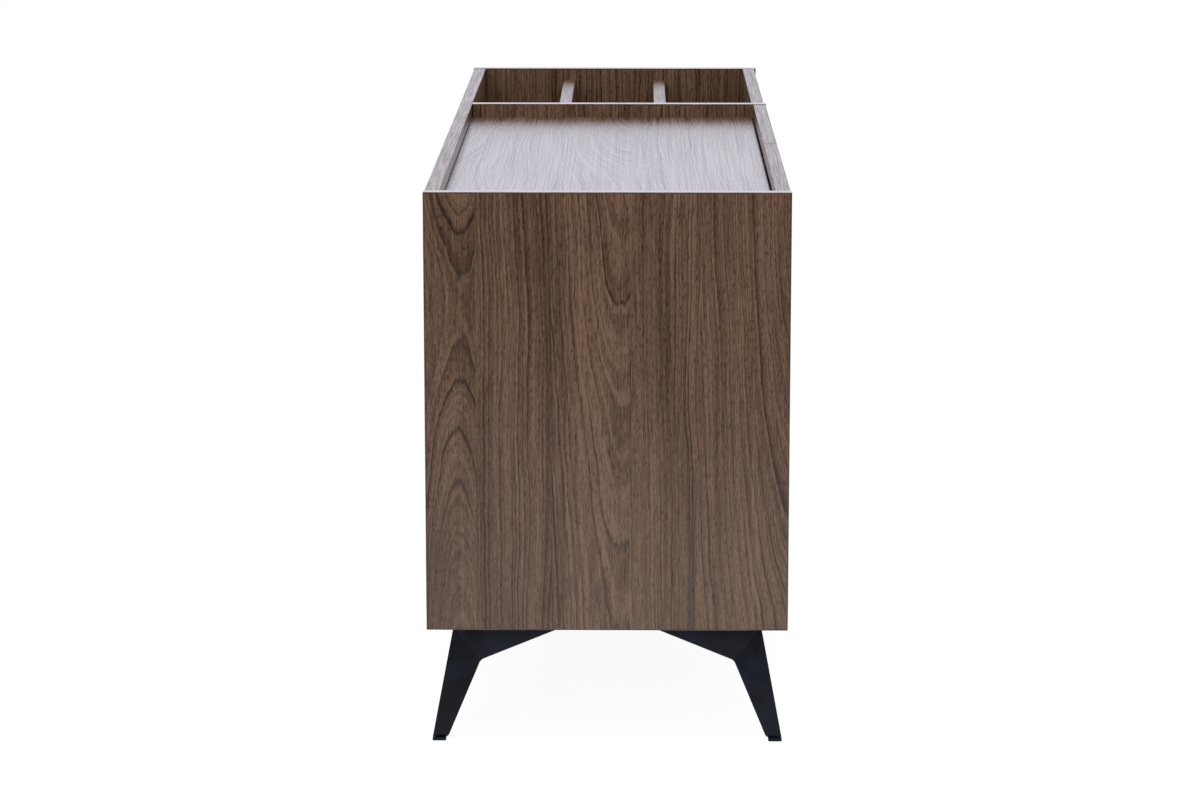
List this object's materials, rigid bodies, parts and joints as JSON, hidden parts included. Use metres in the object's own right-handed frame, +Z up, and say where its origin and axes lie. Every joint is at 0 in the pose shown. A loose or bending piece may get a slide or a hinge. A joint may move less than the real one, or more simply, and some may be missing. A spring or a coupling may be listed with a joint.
{
  "type": "office credenza",
  "caption": "Long low office cabinet in walnut laminate with hinged doors under a recessed top, open-topped bins over a drawer, and splayed folded steel corner legs.",
  "frame": {"origin": "on the floor, under the middle of the case's plan", "axes": "+X along the length, to the right of someone facing the front; the front faces -Y; +Z up"},
  "size_m": [1.44, 0.45, 0.695],
  "materials": {
    "walnut": "satin laminate",
    "black_steel": "satin powder coat",
    "zinc_steel": "zinc plated",
    "nickel_steel": "nickel plated",
    "black_plastic": "matte",
    "clear_rubber": "translucent"
  },
  "bodies": {
    "carcass": {"left_end_panel": "walnut", "right_end_panel": "walnut", "bay_divider": "walnut", "back_panel": "walnut", "cabinet_top": "walnut", "door_bay_bottom": "walnut", "drawer_bay_bottom": "walnut", "bin_front": "walnut", "bin_floor": "walnut", "bin_divider_front": "walnut", "bin_divider_rear": "walnut", "shelf": "walnut", "shelf_pin_left_front": "zinc_steel", "shelf_pin_left_back": "zinc_steel", "shelf_pin_right_front": "zinc_steel", "shelf_pin_right_back": "zinc_steel", "left_hinge_arm_upper": "nickel_steel", "left_hinge_arm_lower": "nickel_steel", "left_hinge_plate_upper": "nickel_steel", "left_hinge_plate_lower": "nickel_steel", "right_hinge_arm_upper": "nickel_steel", "right_hinge_arm_lower": "nickel_steel", "right_hinge_plate_upper": "nickel_steel", "right_hinge_plate_lower": "nickel_steel", "left_slide_cabinet": "zinc_steel", "right_slide_cabinet": "zinc_steel", "leg_front_left": "black_steel", "leg_front_right": "black_steel", "leg_back_left": "black_steel", "leg_back_right": "black_steel", "glide_front_left": "black_plastic", "glide_front_right": "black_plastic", "glide_back_left": "black_plastic", "glide_back_right": "black_plastic"},
    "left_door_leaf": {"left_door": "walnut", "left_hinge_cup_upper": "nickel_steel", "left_hinge_cup_lower": "nickel_steel", "left_bumper_upper": "clear_rubber", "left_bumper_lower": "clear_rubber"},
    "right_door_leaf": {"right_door": "walnut", "right_hinge_cup_upper": "nickel_steel", "right_hinge_cup_lower": "nickel_steel", "right_bumper_upper": "clear_rubber", "right_bumper_lower": "clear_rubber"},
    "drawer": {"drawer_front": "walnut", "drawer_box_left": "walnut", "drawer_box_right": "walnut", "drawer_box_front": "walnut", "drawer_box_back": "walnut", "drawer_box_bottom": "walnut", "left_slide_drawer": "zinc_steel", "right_slide_drawer": "zinc_steel"},
    "slide_middles": {"left_slide_middle": "zinc_steel", "right_slide_middle": "zinc_steel"}
  },
  "joints": [
    {"name": "left_door_swing", "type": "hinge", "parent": "carcass", "child": "left_door_leaf", "pos_m": [-0.7, -0.224, 0.42], "axis": [0, 0, -1], "range_deg": [0, 90]},
    {"name": "right_door_swing", "type": "hinge", "parent": "carcass", "child": "right_door_leaf", "pos_m": [0.209, -0.224, 0.42], "axis": [0, 0, 1], "range_deg": [0, 90]},
    {"name": "drawer_run", "type": "slide", "parent": "carcass", "child": "drawer", "axis": [0, -1, 0], "range_m": [0, 0.35]},
    {"name": "slide_middle_run", "type": "slide", "parent": "carcass", "child": "slide_middles", "axis": [0, -1, 0], "range_m": [0, 0.175]}
  ],
  "couplings": [
    {"joint": "slide_middle_run", "follows": "drawer_run", "ratio": 0.5}
  ]
}
